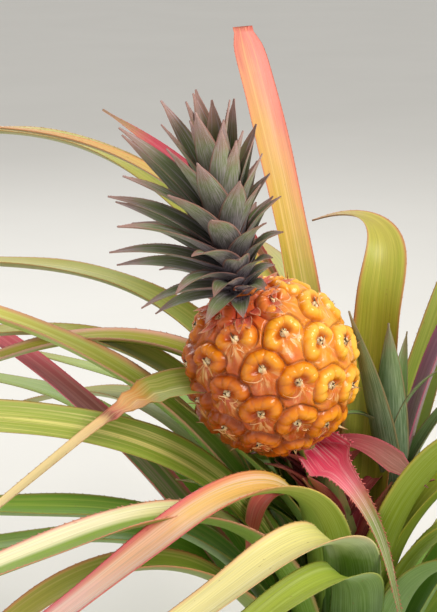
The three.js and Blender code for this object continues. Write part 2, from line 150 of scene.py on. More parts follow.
# Each eye has a puffed horseshoe over it, an ellipse that is open below the eye.
HORSESHOE = Sizes(across=14.4, above=11.8, below=9.4, tube=5.2, height=2.9, floor=1.3, opens_at=0.95,
                  opening=0.75, fullness=0.8, folds=4.5, fold=0.3, lumps=5, lump=0.12, edge=0.9)
CREASE = Sizes(outside=0.35, width=0.55, depth=1.9)
# A bract's fan spreads below its eye, with a ridge in the middle and a wing on each side.
FAN = Sizes(height=0.8, ridge=1.6, ridge_width=3.6, wing=1.2, wing_at=7.5, wing_width=2.8, groove=1.2,
            groove_width=2.6)
EYE = Sizes(radius=3.0, edge=1.3, depth=2.0)
SKIN_SINK = 1.5
# The fruitlets whose direction is higher than this lie under the crown, and have no trim.
UNDER_CROWN = 0.93
FAN_LINE = Sizes(points=12, chance=0.45, flat=0.05, crest=0.4, thickness=0.5, narrowing=0.8)
BRACT_TIP = Sizes(rows=9, columns=5, length=(6, 10), width=(2.8, 4.4), thickness=0.35)
FLOWER = Sizes(sunk=2.4, petals=7, radius=2.2, petal=(1.15, 0.95, 0.3), threads=3, thread=(0.55, 0.4, 0.12))

# Finer detail of the crown, the bracts, the shoot and the rosette's heart

CROWN_LEAVES = Sizes(count=70, azimuth=7, fall=6, rise=4, swing=10, roll=8, length=(0.92, 1.1), steps=22)
CROWN_BLADE = dict(kind="crown", spine=0.8, ripple=0.25, thin=1.2, section=9, spacing=2.8)
COLLAR = Sizes(bracts=20, polar=(14, 27), sink=1, rise=22, fall=(-30, 10), length=(9, 15), width=(5, 8),
               roll=12)
COLLAR_BLADE = dict(kind="crown", spine=0.6, ripple=0.4, thin=3.0, section=7, spacing=2.4)
BRACT_BLADE = dict(kind="bract", ripple=0.5, thin=0.8, spacing=3.0)
BRACT_SINK = 2
HEART = Sizes(leaves=12, azimuths=(58, 196), jitter=6, sink=4, rise=(58, 74), fall=(20, 60),
              length=(120, 190), width=(22, 30))
HEART_BLADE = dict(spine=1.0, ripple=0.4, thin=0.8, spacing=3.6)
# Small bracts, from the foot of the stalk to its head. None but the lowest hide the pink bract in front.
SMALL_BRACTS = Sizes(count=26, first_azimuth=30, shares=(0.06, 0.76), rise=(76, 24), fall=(10, 60),
                     length=(84, 32), width=(20, 11), clear_of=310, clear_by=52, clear_above=0.2)
SMALL_BRACT_BLADE = dict(spine=1.1, ripple=0.4, thin=1.6, section=9, spacing=2.6)
SHOOT = Sizes(rows=30, sides=20)
SUCKER_BLADE = dict(spine=0.9, ripple=0.4, thin=0.9, spacing=3.6)
STEM_BARK = Sizes(rows=120, columns=72, scar_height=6.5, relief=0.9, ribs=9, rib=0.35, twist=0.7)
STALK_SKIN = Sizes(rows=60, sides=32, ribs=8, rib=0.35, sink=0.4, beside=(0.2, -1.0, 0.1))


def rgb(code):
    """A plain sRGB colour code as linear values."""
    parts = [int(code[i:i + 2], 16) / 255 for i in (1, 3, 5)]
    return tuple(c / 12.92 if c <= 0.04045 else ((c + 0.055) / 1.055) ** 2.4 for c in parts) + (1.0,)


def smooth(x):
    t = np.clip(x, 0, 1)
    return t * t * (3 - 2 * t)


def lerp(a, b, t):
    return a + (b - a) * t


def unit(v):
    v = np.asarray(v, float)
    return v / np.linalg.norm(v, axis=-1, keepdims=True)


def around(azimuth, distance, height):
    turn = math.radians(azimuth)
    return np.array([distance * math.cos(turn), distance * math.sin(turn), height])


def turned(vectors, axis):
    """The vectors, turned as +Z is turned to the axis by the shortest way."""
    turn = Vector((0, 0, 1)).rotation_difference(Vector(axis)).to_matrix()
    return np.asarray(vectors) @ np.array(turn).T


def jitter(rng, most):
    return rng.uniform(-most, most)


def full_circle(count):
    return np.linspace(0, 2 * math.pi, count, endpoint=False)


# Meshes


class Form:
    """Gathers points, faces and point values for one mesh."""

    def __init__(self):
        self.points, self.quads, self.tris, self.values, self.count = [], [], [], {}, 0

    def add(self, points, quads=(), tris=(), **values):
        points = np.asarray(points, float).reshape(-1, 3)
        n = len(points)
        self.points.append(points)
        self.quads.append(np.asarray(quads, int).reshape(-1, 4) + self.count)
        self.tris.append(np.asarray(tris, int).reshape(-1, 3) + self.count)
        for name, value in values.items():
            self.values.setdefault(name, []).append(np.broadcast_to(np.asarray(value, float), (n,)))
        self.count += n

    def piece(self, name, material, slot, *nodes):
        points = np.concatenate(self.points) * MM
        quads, tris = np.concatenate(self.quads), np.concatenate(self.tris)
        mesh = bpy.data.meshes.new(name)
        mesh.vertices.add(len(points))
        mesh.vertices.foreach_set("co", points.ravel())
        loops = np.concatenate([quads.ravel(), tris.ravel()])
        mesh.loops.add(len(loops))
        mesh.loops.foreach_set("vertex_index", loops)
        starts = np.concatenate([np.arange(len(quads)) * 4, len(quads) * 4 + np.arange(len(tris)) * 3])
        mesh.polygons.add(len(starts))
        mesh.polygons.foreach_set("loop_start", starts)
        mesh.polygons.foreach_set("use_smooth", np.ones(len(starts), bool))
        mesh.update(calc_edges=True)
        for key, parts in self.values.items():
            attribute = mesh.attributes.new(key, "FLOAT", "POINT")
            attribute.data.foreach_set("value", np.concatenate(parts).astype(np.float32))
        mesh.materials.append(material)
        made = bpy.data.objects.new(name, mesh)
        bpy.context.scene.collection.objects.link(made)
        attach(made, "root")
        if nodes:
            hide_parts(*nodes)


def tube_faces(rows, ring):
    """Quads of a closed tube, and triangles that close its two ends."""
    row = np.arange(rows - 1)[:, None] * ring
    here = np.arange(ring)[None, :]
    after = (here + 1) % ring
    quads = np.stack([row + here, row + after, row + ring + after, row + ring + here], -1).reshape(-1, 4)
    last = (rows - 1) * ring
    fan = [(0, i + 1, i) for i in range(1, ring - 1)]
    fan += [(last, last + i, last + i + 1) for i in range(1, ring - 1)]
    return quads, np.array(fan)


def add_tube(form, stops, radii, sides=5, beside=(0.31, 0.87, 0.39), **values):
    """A closed tube along a few points, with a radius for each of them, or a row of one for each side.

    Its rings start square to the vector beside it.
    """
    stops, radii = np.asarray(stops, float), np.asarray(radii, float)
    if radii.ndim == 1:
        radii = radii[:, None]
    ahead = unit(np.gradient(stops, axis=0))
    first = unit(np.cross(ahead, beside))
    second = np.cross(ahead, first)
    turn = full_circle(sides)[None, :, None]
    ring = np.cos(turn) * first[:, None, :] + np.sin(turn) * second[:, None, :]
    form.add(stops[:, None, :] + ring * radii[..., None], *tube_faces(len(stops), sides), **values)


def add_sheet(form, sheet, out, thickness, **values):
    """A thin closed sheet from a grid of points."""
    rows, columns = sheet.shape[:2]
    lower = sheet - out * thickness
    index = np.arange(rows * columns).reshape(rows, columns)
    a, b, c, d = index[:-1, :-1], index[:-1, 1:], index[1:, 1:], index[1:, :-1]
    face = np.stack([a, b, c, d], -1).reshape(-1, 4)
    n = rows * columns
    rim = np.concatenate([index[0, :], index[1:, -1], index[-1, -2::-1], index[-2:0:-1, 0]])
    after = np.roll(rim, -1)
    walls = np.stack([rim, rim + n, after + n, after], -1)
    quads = np.concatenate([face, face[:, ::-1] + n, walls])
    doubled = {key: np.tile(np.broadcast_to(value, (rows, columns)).ravel(), 2) if np.ndim(value) else value
               for key, value in values.items()}
    form.add(np.concatenate([sheet.reshape(-1, 3), lower.reshape(-1, 3)]), quads, **doubled)


# Leaves


def leaf_path(azimuth, rise, fall, bend, span, swing, length, root, steps=PATH_STEPS):
    """The line that a leaf follows, with its directions along, to the side and up."""
    share = np.linspace(0, 1, steps + 1)
    turn = smooth((share - bend) / span + 0.5)
    elevation = np.radians(rise - fall * turn)
    heading = np.radians(azimuth + swing * turn)
    along = np.stack([np.cos(elevation) * np.cos(heading), np.cos(elevation) * np.sin(heading),
                      np.sin(elevation)], -1)
    side = np.stack([-np.sin(heading), np.cos(heading), np.zeros_like(heading)], -1)
    point = np.asarray(root, float) + np.vstack([np.zeros(3), np.cumsum(along[:-1], 0) * length / steps])
    return dict(share=share, point=point, along=along, side=side, up=np.cross(along, side), length=length)


def moved(path, axis, seat):
    """The path, turned as +Z is turned to the axis, and set on the seat."""
    directions = {key: turned(path[key], axis) for key in ("along", "side", "up")}
    return dict(path, point=turned(path["point"], axis) + seat, **directions)


def blade_width(share, name, kind):
    taper = TAPER.get(name, TAPER[kind])
    usual = dict(width=BLADE.base_width, start=0, full_at=FULL_WIDTH_AT.get(name, FULL_WIDTH_AT["leaf"]))
    foot = NARROW_FOOT.get(name, usual)
    kept = 1.0
    if name == WITHERED.leaf:
        dry = smooth((share - WITHERED.start) / (WITHERED.end - WITHERED.start))
        kept = lerp(1, WITHERED.width, dry)
    base = lerp(foot["width"], 1, smooth((share - foot["start"]) / (foot["full_at"] - foot["start"])))
    beyond = np.maximum(0, (share - foot["full_at"]) / (1 - foot["full_at"]))
    return np.maximum(kept * base * (1 - beyond ** taper), TIP_WIDTH.get(name, TIP_WIDTH["leaf"]))


def crumple_height(share, name):
    if name != WITHERED.leaf:
        return 0 * share
    rises = smooth((share - CRUMPLE.start) / CRUMPLE.fade)
    return CRUMPLE.height * rises * smooth((CRUMPLE.end - share) / CRUMPLE.fade)


def add_blade(form, path, width, rng, name="", kind="leaf", spine=0.0, ripple=0.7,
              thin=VISIBLE_THICKNESS, section=SECTION.points, spacing=TEETH.spacing, roll=0.0):
    """One leaf: a channelled blade, thickest at its midrib, with teeth on both margins."""
    share, length = path["share"], path["length"]
    half = width / 2 * blade_width(share, name, kind)
    gutter = half * lerp(BLADE.base_gutter, BLADE.tip_gutter, share)
    keel = length * BLADE.thickness * thin * lerp(1, BLADE.tip_thickness, share)
    lean = np.radians(TILT.get(name, 0) + roll * smooth(share * 1.4))[:, None]
    side = path["side"] * np.cos(lean) + path["up"] * np.sin(lean)
    up = path["up"] * np.cos(lean) - path["side"] * np.sin(lean)
    waves = rng.uniform(0, 2 * math.pi, 4)
    crumple = crumple_height(share, name)

    def place(across, depth):
        """Points of the upper face at this share of the half width, or that far below it."""
        edge = np.abs(across) ** SECTION.edge_power
        sign = 1 if across > 0 else -1
        wave = np.sin(share * length / RIPPLE.short + waves[sign])
        wave = wave + RIPPLE.long_share * np.sin(share * length / RIPPLE.long + waves[sign + 2])
        rippled = ripple * edge * wave * smooth(share / RIPPLE.starts_within) * half / RIPPLE.half_width
        height = gutter * abs(across) ** SECTION.gutter_power + rippled
        rib = SECTION.rib * math.cos(across * SECTION.rib_waves) * (1 - edge)
        crushed = crumple * np.sin(share * length / CRUMPLE.pitch + CRUMPLE.slant * across)
        drop = depth * keel * (1 - across * across) ** SECTION.under_power
        return path["point"] + side * (half * across)[:, None] + up * (height + rib + crushed - drop)[:, None]

    over = np.sin(np.linspace(-math.pi / 2, math.pi / 2, section))
    under = over[-2:0:-1]
    ring = [place(t, 0) for t in over] + [place(t, 1) for t in under]
    across = np.concatenate([over, under])
    below = np.concatenate([np.zeros(section), np.ones(section - 2)])
    points = np.stack(ring, 1)
    quads, tris = tube_faces(len(share), len(ring))
    seed = rng.uniform(0, 50)
    form.add(points, quads[:, ::-1], tris[:, ::-1], along=np.repeat(share, len(ring)),
             across=np.tile(across, len(share)), under=np.tile(below, len(share)), seed=seed)
    if spine:
        add_teeth(form, place(-1, 0), place(1, 0), path, side, up, spine, spacing, rng, seed)


def add_teeth(form, right, left, path, side, up, size, spacing, rng, seed):
    """Hooked teeth along both margins, that lean towards the leaf's tip."""
    count = max(TEETH.least, int(path["length"] * TEETH.covered / spacing))
    for margin, sign in ((right, -1), (left, 1)):
        shift = rng.uniform(-TEETH.jitter, TEETH.jitter, count) * TEETH.covered / count
        shares = np.linspace(TEETH.first, TEETH.last, count) + shift
        where = np.clip(shares, 0, TEETH.farthest) * (len(margin) - 1)
        low = where.astype(int)
        part = (where - low)[:, None]
        base = margin[low] * (1 - part) + margin[low + 1] * part
        grow = (size * rng.uniform(*TOOTH.size, count) * lerp(1, TOOTH.at_tip, shares))[:, None]
        out, ahead, rise = side[low] * sign, path["along"][low], up[low]
        inner = base - out * TOOTH.sink
        points = np.stack([
            inner - ahead * TOOTH.back * grow,
            inner + ahead * TOOTH.front * grow,
            inner + rise * TOOTH.crest - ahead * TOOTH.crest_back * grow,
            base + (out * TOOTH.out + ahead * TOOTH.ahead + rise * TOOTH.rise) * grow,
        ], 1)
        first = np.arange(count)[:, None] * 4
        faces = [(0, 1, 3), (1, 2, 3), (2, 0, 3), (0, 2, 1)]
        if sign < 0:
            faces = [face[::-1] for face in faces]
        tris = np.concatenate([first + np.array(face)[None, :] for face in faces])
        form.add(points, (), tris, along=np.repeat(np.clip(shares, 0, 1), 4),
                 across=np.tile([1.0, 1.0, 1.0, 1.3], count) * sign, under=0.0, seed=seed)


# Node materials


class Graph:
    """A material whose nodes are made and linked in one call each."""

    def __init__(self, name):
        self.material = bpy.data.materials.new(name)
        self.material.use_nodes = True
        self.tree = self.material.node_tree
        self.tree.nodes.clear()

    def node(self, kind, inputs=(), **settings):
        made = self.tree.nodes.new("ShaderNode" + kind)
        for key, value in settings.items():
            setattr(made, key, value)
        for key, value in dict(inputs).items():
            self.give(made.inputs[key], value)
        return made

    def give(self, socket, value):
        if isinstance(value, bpy.types.NodeSocket):
            self.tree.links.new(value, socket)
        else:
            socket.default_value = value

    def value(self, name):
        return self.node("Attribute", attribute_name=name).outputs["Fac"]

    def place(self):
        return self.node("TexCoord").outputs["Object"]

    def maths(self, operation, *values):
        return self.node("Math", enumerate(values), operation=operation).outputs[0]

    def times(self, *values):
        return self.maths("MULTIPLY", *values)

    def swayed(self, onto, value, by, middle=0.5):
        """onto, and by times what the value has over its middle."""
        return self.maths("MULTIPLY_ADD", self.maths("SUBTRACT", value, middle), by, onto)

    def spread(self, value, low, high, to_low=0.0, to_high=1.0):
        made = self.node("MapRange", {0: value, 1: low, 2: high, 3: to_low, 4: to_high},
                         interpolation_type="SMOOTHSTEP")
        return made.outputs[0]

    def noise(self, vector, scale, detail=3.0, roughness=0.55):
        made = self.node("TexNoise", {"Vector": vector, "Scale": scale, "Detail": detail,
                                      "Roughness": roughness})
        return made.outputs["Fac"]

    def grain(self, x, y, z, finer, *settings):
        """Noise over a blade, finer by these two values along x and y."""
        stretched = {0: self.times(x, finer[0]), 1: self.times(y, finer[1]), 2: z}
        return self.noise(self.node("CombineXYZ", stretched).outputs[0], *settings)

    def ramp(self, value, stops):
        made = self.node("ValToRGB", {0: value})
        elements = made.color_ramp.elements
        while len(elements) < len(stops):
            elements.new(1.0)
        for element, (place, colour) in zip(elements, stops.items()):
            element.position = place
            element.color = rgb(colour)
        return made.outputs[0]

    def mix(self, share, one, other, blend="MIX"):
        """One colour, or a share of the other one over it. A colour is a socket or a code."""
        made = self.node("Mix", data_type="RGBA", blend_type=blend)
        self.give(made.inputs[0], share)
        self.give(made.inputs[6], one)
        self.give(made.inputs[7], rgb(other) if isinstance(other, str) else other)
        return made.outputs[2]

    def finish(self, colour, roughness, bump=None, strength=0.0, depth=0.0, constants=()):
        shader = self.node("BsdfPrincipled", {"Base Color": colour, "Roughness": roughness})
        for key, value in dict(constants).items():
            shader.inputs[key].default_value = value
        if bump is not None:
            made = self.node("Bump", {"Height": bump, "Strength": strength, "Distance": depth})
            self.tree.links.new(made.outputs[0], shader.inputs["Normal"])
        output = self.node("OutputMaterial")
        self.tree.links.new(shader.outputs[0], output.inputs["Surface"])
        return self.material


# Each look: the colours of the upper face and the underside, by their places from root to tip; the margin's
# colour and width; the streaks' colour and strength. Some also have: shift, how far the colours wander along
# the leaf; ripe, where along it the margin takes its colour; bloom and bloomed, a pale coat underneath;
# roughness; and flush, a tint: its side of the midrib, its start and end along the leaf, its colour, and
# where across the leaf it fades in.
USUAL_LOOK = dict(shift=0.22, ripe=(0.02, 0.3), bloom=0.1, bloomed="#d5dcc8", flush=None, roughness=0.42)
LOOKS = {
    "green": dict(
        over={0: "#64903a", 0.25: "#6fa02c", 0.55: "#86b034", 0.85: "#a8b848", 1: "#b48a4c"},
        under={0: "#7d9c5c", 0.3: "#7ea24c", 0.7: "#92b04e", 1: "#a89654"},
        margin="#a89444", edge=0.06, streak="#c4d060", streaks=0.45),
    "fresh": dict(
        over={0: "#62983a", 0.2: "#62b024", 0.34: "#acd048", 0.5: "#dcd85c", 0.8: "#e8d874", 1: "#d0a860"},
        under={0: "#6f9a3c", 0.3: "#74ac2c", 0.5: "#b0c844", 0.7: "#ccd058", 1: "#c8b05c"},
        margin="#f0a488", edge=0.16, streak="#eef09a", streaks=0.6),
    "olive": dict(
        over={0: "#6a903a", 0.3: "#8ba636", 0.6: "#b0b04a", 0.85: "#c8b05c", 1: "#a8804e"},
        under={0: "#7a9850", 0.3: "#8ca446", 0.7: "#a8a850", 1: "#a48a56"},
        margin="#c08a4c", edge=0.07, streak="#d6cc70", streaks=0.5),
    "striped": dict(
        over={0: "#6f9a34", 0.25: "#80a430", 0.5: "#9cac3c", 0.8: "#bcbc54", 1: "#c9a860"},
        under={0: "#689430", 0.3: "#66922a", 0.7: "#7ca832", 1: "#9a9640"},
        margin="#b08c44", edge=0.06, streak="#f0e68c", streaks=0.95),
    "cream": dict(
        over={0: "#7aa238", 0.18: "#9ab83e", 0.3: "#dcda80", 0.45: "#f6efc2", 1: "#f8ecc4"},
        under={0: "#7aa43a", 0.25: "#7ba42a", 0.55: "#94b038", 1: "#b4b450"},
        margin="#e98f80", edge=0.08, streak="#fffbe0", streaks=0.5,
        flush=(1, 0.1, 0.3, "#86a436", -0.5, -0.1)),
    # yellow: the underside's dark green towards the root is painted shade on the leaf's foot; its pale band
    # at the knee is partly the underside's own pale colour, partly painted light.
    "yellow": dict(
        over={0: "#68903a", 0.2: "#94b04c", 0.29: "#dcd87c", 0.42: "#f0e69c", 0.8: "#f6efba", 1: "#e6c690"},
        under={0: "#3e5e1a", 0.2: "#4e7222", 0.265: "#7a9a40", 0.31: "#dfe8bc", 0.6: "#e4e9b0", 1: "#dcc480"},
        margin="#eab07c", edge=0.1, streak="#fffbe0", streaks=0.6, ripe=(0.26, 0.36), shift=0.1),
    "blush": dict(
        over={0: "#84a83a", 0.24: "#bcb848", 0.32: "#eac058", 0.42: "#f2c272", 0.5: "#f4c09c",
              0.62: "#f6c8c0", 0.8: "#f4bcc4", 1: "#e49c94"},
        under={0: "#7fa83a", 0.25: "#a0b848", 0.4: "#b2c05a", 0.6: "#ccb864", 1: "#dca47c"},
        margin="#dc3c5c", edge=0.22, streak="#fff2ea", streaks=0.6, ripe=(0.3, 0.44)),
    # arch: the underside's dark green towards the root is painted shade on the leaf's foot; its pale band at
    # the knee is partly the underside's own pale colour, partly painted light.
    "arch": dict(
        over={0: "#62903a", 0.28: "#8cb040", 0.4: "#b0c448", 0.7: "#c0c668", 1: "#b8a25c"},
        under={0: "#3e5e1a", 0.24: "#4e7222", 0.32: "#7e9e48", 0.38: "#b0ca8c", 0.6: "#a4c07c", 1: "#a0a460"},
        margin="#a8a848", edge=0.07, streak="#d4e098", streaks=0.45, ripe=(0.26, 0.4), shift=0.1),
    "rosy": dict(
        over={0: "#74983a", 0.35: "#9aa834", 0.55: "#b8b43e", 0.75: "#d0b85c", 1: "#cc9c70"},
        under={0: "#74983a", 0.35: "#94aa34", 0.6: "#aab23c", 1: "#b89e54"},
        margin="#f6b4aa", edge=0.22, streak="#e8d890", streaks=0.4, shift=0.1),
    "orange": dict(
        over={0: "#7f9434", 0.4: "#8c922c", 0.56: "#a89c30", 0.68: "#ceaa44", 0.8: "#dcaa62",
              0.92: "#e49c78", 1: "#de7c70"},
        under={0: "#7f943c", 0.4: "#8e922e", 0.56: "#aa9e32", 0.68: "#ceaa48", 0.8: "#dcaa66",
               0.92: "#e49c7a", 1: "#de7c70"},
        margin="#d8705c", edge=0.08, streak="#f2d288", streaks=0.5,
        flush=(-1, 0.55, 0.92, "#e07468", -0.1, 0.9)),
    "gold": dict(
        over={0: "#82983a", 0.4: "#a4ac38", 0.7: "#aab03a", 0.86: "#b4a848", 1: "#b08464"},
        under={0: "#7f963a", 0.4: "#a2a836", 0.7: "#a6ac38", 0.86: "#b09c4c", 1: "#b0806c"},
        margin="#c87a5c", edge=0.1, streak="#d6cc60", streaks=0.5),
    "purple": dict(
        over={0: "#6f9440", 0.24: "#8a8a60", 0.36: "#96607c", 0.85: "#a85c80", 1: "#947064"},
        under={0: "#74964a", 0.24: "#8e8868", 0.38: "#96607c", 1: "#94705e"},
        margin="#b85474", edge=0.1, streak="#cc98ac", streaks=0.4),
    "pink": dict(
        over={0: "#74983a", 0.5: "#8ca044", 0.58: "#b88a58", 0.66: "#e0607a", 0.88: "#ea5068",
              0.94: "#c8a070", 1: "#b49a74"},
        under={0: "#74983e", 0.5: "#909c4a", 0.6: "#b88060", 0.75: "#e05a74", 0.92: "#cc8470", 1: "#b09070"},
        margin="#e24a60", edge=0.12, streak="#f4a8ac", streaks=0.45, shift=0.08),
    "far_pink": dict(
        over={0: "#5f8636", 0.36: "#708a38", 0.44: "#a8645c", 0.56: "#d45a6c", 1: "#b8705c"},
        under={0: "#5f863a", 0.36: "#728a3c", 0.44: "#a86860", 0.56: "#d05e6c", 1: "#b8745c"},
        margin="#dc5468", edge=0.12, streak="#eca4a4", streaks=0.45, shift=0.08),
    "tan": dict(
        over={0: "#74983a", 0.35: "#96a83c", 0.6: "#b8ac4a", 0.8: "#d8a860", 1: "#c0946a"},
        under={0: "#7a9844", 0.35: "#92a042", 0.7: "#b09a4c", 1: "#b08c60"},
        margin="#dc8a60", edge=0.1, streak="#e4d080", streaks=0.55),
    "folded": dict(
        over={0: "#6f942c", 0.42: "#7f9430", 0.5: "#8e9434", 0.515: "#c48838", 0.535: "#e0a468",
              0.55: "#cc6c58", 0.557: "#8c3c38", 0.568: "#f0c488", 0.62: "#f8dca0", 1: "#ffecb4"},
        under={0: "#6f942c", 0.42: "#809632", 0.5: "#909636", 0.515: "#c88c3c", 0.535: "#e4a86c",
               0.55: "#d0705c", 0.557: "#8c3c38", 0.568: "#f2c88c", 0.62: "#fae0a4", 1: "#ffecb4"},
        margin="#b8844a", edge=0.06, streak="#e8d894", streaks=0.4, shift=0.02),
    "bract": dict(
        over={0: "#d83058", 0.12: "#e04866", 0.22: "#e87484", 0.3: "#c08a64", 0.38: "#8a9c48", 1: "#6f9038"},
        under={0: "#dc4c6c", 0.12: "#e2587a", 0.22: "#e88090", 0.3: "#b88a64", 0.38: "#84a04c", 1: "#6f9038"},
        margin="#dc7068", edge=0.1, streak="#ffe6e2", streaks=0.7, shift=0.05),
    "right_bract": dict(
        over={0: "#b03854", 0.3: "#a84650", 0.6: "#905046", 1: "#806040"},
        under={0: "#ac3a54", 0.3: "#a44850", 0.6: "#8c5246", 1: "#806040"},
        margin="#b04c58", edge=0.12, streak="#d89890", streaks=0.3),
    "hanging_bract": dict(
        over={0: "#b8404a", 0.4: "#dc5450", 0.7: "#e46a5a", 1: "#c8604c"},
        under={0: "#b8404a", 0.4: "#dc5450", 0.7: "#e4685a", 1: "#c8604c"},
        margin="#a8a050", edge=0.08, streak="#f0a890", streaks=0.5),
    "red_bract": dict(
        over={0: "#9c3840", 0.4: "#b84c54", 0.8: "#c07060", 1: "#a07850"},
        under={0: "#b4505a", 0.4: "#c4525c", 0.8: "#cc7468", 1: "#a87458"},
        margin="#a83440", edge=0.12, streak="#e8aaa0", streaks=0.5),
    "crown": dict(
        over={0: "#5c545c", 0.3: "#646a50", 0.65: "#75844e", 0.88: "#98786a", 1: "#b48a7c"},
        under={0: "#6a5c6c", 0.22: "#7c6e7c", 0.45: "#83837a", 0.7: "#8a9860", 0.88: "#a8806c", 1: "#c49484"},
        margin="#a87068", edge=0.08, streak="#c4b8c4", streaks=0.7, bloom=0.62, bloomed="#ccc0cc",
        roughness=0.5),
    "sucker": dict(
        over={0: "#4c6c3c", 0.4: "#587a40", 0.8: "#6c8a4a", 1: "#8c7450"},
        under={0: "#587050", 0.4: "#64805a", 0.8: "#76905c", 1: "#907c60"},
        margin="#8c7050", edge=0.07, streak="#98ac84", streaks=0.45, bloom=0.25, roughness=0.5),
    "bright": dict(
        over={0: "#8ea62c", 0.2: "#a4b430", 0.4: "#bcc440", 0.8: "#cccc58", 1: "#c8a458"},
        under={0: "#8ca430", 0.25: "#9eb034", 0.6: "#acb83e", 1: "#b8a054"},
        margin="#c0b048", edge=0.06, streak="#e2ea80", streaks=0.5),
    "collar": dict(
        over={0: "#c44834", 0.4: "#d4543c", 0.75: "#e47c54", 1: "#f0c48c"},
        under={0: "#c0403c", 0.4: "#d04e40", 0.75: "#e0765a", 1: "#ecbc88"},
        margin="#f0c898", edge=0.1, streak="#f0b890", streaks=0.4, roughness=0.5),
}


# Noise over a blade: how much finer it is across and along, its scale, and some with detail and roughness.
CLOUDS = ((0.8, 9.0), 1.3)
STRIPES = ((7.0, 1.6), 1.0, 5.0, 0.7)
FIBRES = ((34.0, 7.0), 1.0, 2.0)
SPECKS = ((5.0, 60.0), 1.5, 2.0)
PAPER_GRAIN = ((6.0, 2.0), 1.5)


def leaf_material(look):
    spec = dict(USUAL_LOOK, **LOOKS[look])
    g = Graph("leaf_" + look)
    along, across, under, seed = map(g.value, ("along", "across", "under", "seed"))
    cloud = g.grain(across, along, seed, *CLOUDS)
    stripe = g.grain(across, along, seed, *STRIPES)
    fibre = g.grain(across, along, seed, *FIBRES)
    wandered = g.swayed(along, cloud, spec["shift"])
    over = g.ramp(wandered, spec["over"])
    below = g.ramp(wandered, spec["under"])
    over = g.mix(g.spread(stripe, 0.46, 0.68, 0.0, spec["streaks"]), over, spec["streak"])
    if spec["flush"]:
        side, start, end, tint, low, high = spec["flush"]
        flushed = g.times(g.spread(g.times(across, side), low, high), g.spread(wandered, start, end))
        over, below = g.mix(flushed, over, tint), g.mix(flushed, below, tint)
    below = g.mix(g.spread(fibre, 0.42, 0.62, 0.0, spec["bloom"]), below, spec["bloomed"])
    colour = g.mix(under, over, below)
    colour = g.mix(0.55, colour, g.ramp(fibre, {0.3: "#c9c9c9", 0.6: "#ffffff"}), "MULTIPLY")
    speck = g.grain(across, along, seed, *SPECKS)
    colour = g.mix(g.spread(speck, 0.7, 0.76, 0.0, 0.45), colour, "#8a6038")
    from_midrib = g.swayed(g.maths("ABSOLUTE", across), cloud, 0.12)
    edge = g.spread(from_midrib, 1.0 - 2 * spec["edge"], 1.0, 0.0, 0.8)
    colour = g.mix(g.times(edge, g.spread(along, *spec["ripe"])), colour, spec["margin"])
    gloss = g.spread(fibre, 0.2, 0.8, spec["roughness"] - 0.08, spec["roughness"] + 0.12)
    return g.finish(colour, gloss, fibre, 0.28, 0.0005)


materials = {}


def leaf_look(look):
    if look not in materials:
        materials[look] = leaf_material(look)
    return materials[look]


# The rosette


def stem_radius(height):
    if height < STEM.flare:
        return lerp(STEM.foot, STEM.neck, float(smooth(height / STEM.flare)))
    if height < STEM.belly_at:
        share = (height - STEM.flare) / (STEM.belly_at - STEM.flare)
        return lerp(STEM.neck, STEM.belly, float(smooth(share)))
    return lerp(STEM.belly, STEM.top, (height - STEM.belly_at) / (STEM.height - STEM.belly_at))


for number, (name, azimuth, height, *course, width, look, spine) in enumerate(LEAVES):
    rng = np.random.default_rng(SEED + number)
    root = around(azimuth, stem_radius(height) - BLADE.root_sink, height)
    form = Form()
    add_blade(form, leaf_path(azimuth, *course, root), width, rng, name, spine=spine)
    fall = course[1]
    nodes = [f"leaf_{name}"] if fall < SPLIT_TURN else [f"leaf_{name}_foot", f"leaf_{name}_tip"]
    form.piece(f"blade_{name}", leaf_look(look), "leaf", *nodes)

# Fruit

fruit_centre = np.array(FRUIT.centre, float)
fruit_axis = unit(FRUIT.axis)
pole = np.array([0.0, 0.0, 1.0])


def fruitlet_centres():
    k = np.arange(FRUIT.fruitlets)
    level = 1 - (2 * k + 1) / FRUIT.fruitlets
    ring = np.sqrt(1 - level ** 2)
    turn = np.radians(FRUIT.first_azimuth + GOLDEN_ANGLE * k)
    return np.stack([ring * np.cos(turn), ring * np.sin(turn), level], -1)


# Each fruitlet has a direction from the fruit's middle, a way up and a way to the right over the skin, and a
# tone of its own.
centres = fruitlet_centres()
rises = unit(pole - centres * (centres @ pole)[:, None])
rights = np.cross(rises, centres)
cells = np.random.default_rng(SEED + 100).uniform(0, 1, len(centres))


def on_fruit(direction, swell):
    """A point over the fruit in this direction, given before the fruit's lean."""
    stretch = np.stack([FRUIT.radius + swell, FRUIT.radius + swell, FRUIT.half_height + swell], -1)
    return turned(direction * stretch, fruit_axis) + fruit_centre


def picked(values, index):
    return np.take_along_axis(values, index[:, None], 1)[:, 0]


def hill(x, middle, width):
    return np.exp(-((x - middle) / width) ** 2)


def nearest_eyes(direction):
    """The way from the nearest eyes to each point: to the right, up and straight, and each eye's tone."""
    order = np.argsort(-(direction @ centres.T), 1)[:, :NEIGHBOURS]
    offset = direction * FRUIT.radius
    x = np.einsum("ij,ikj->ik", offset, rights[order])
    y = np.einsum("ij,ikj->ik", offset, rises[order])
    return x, y, np.hypot(x, y) + 0.01, cells[order]


def own_horseshoe(x, y, reach, tones):
    """How deep each point lies in the horseshoe it belongs to, how closed that is, its turn and its tone."""
    turn = np.arctan2(y, x)
    wobble = 1 + 0.045 * np.sin(3 * turn + 11 * tones) + 0.03 * np.sin(5 * turn + 29 * tones)
    upright = np.where(y > 0, HORSESHOE.above, HORSESHOE.below)
    rim = wobble * reach / np.hypot(x / HORSESHOE.across, y / upright)
    closed = smooth((y / reach + HORSESHOE.opens_at) / HORSESHOE.opening)
    inside = np.where(closed > 0.02, rim - reach, -9)
    ranked = np.argsort(-inside, 1)
    own = ranked[:, 0]
    depth = picked(inside, own) - np.clip(picked(inside, ranked[:, 1]), 0, None)
    return depth, picked(closed, own), picked(turn, own), picked(tones, own)


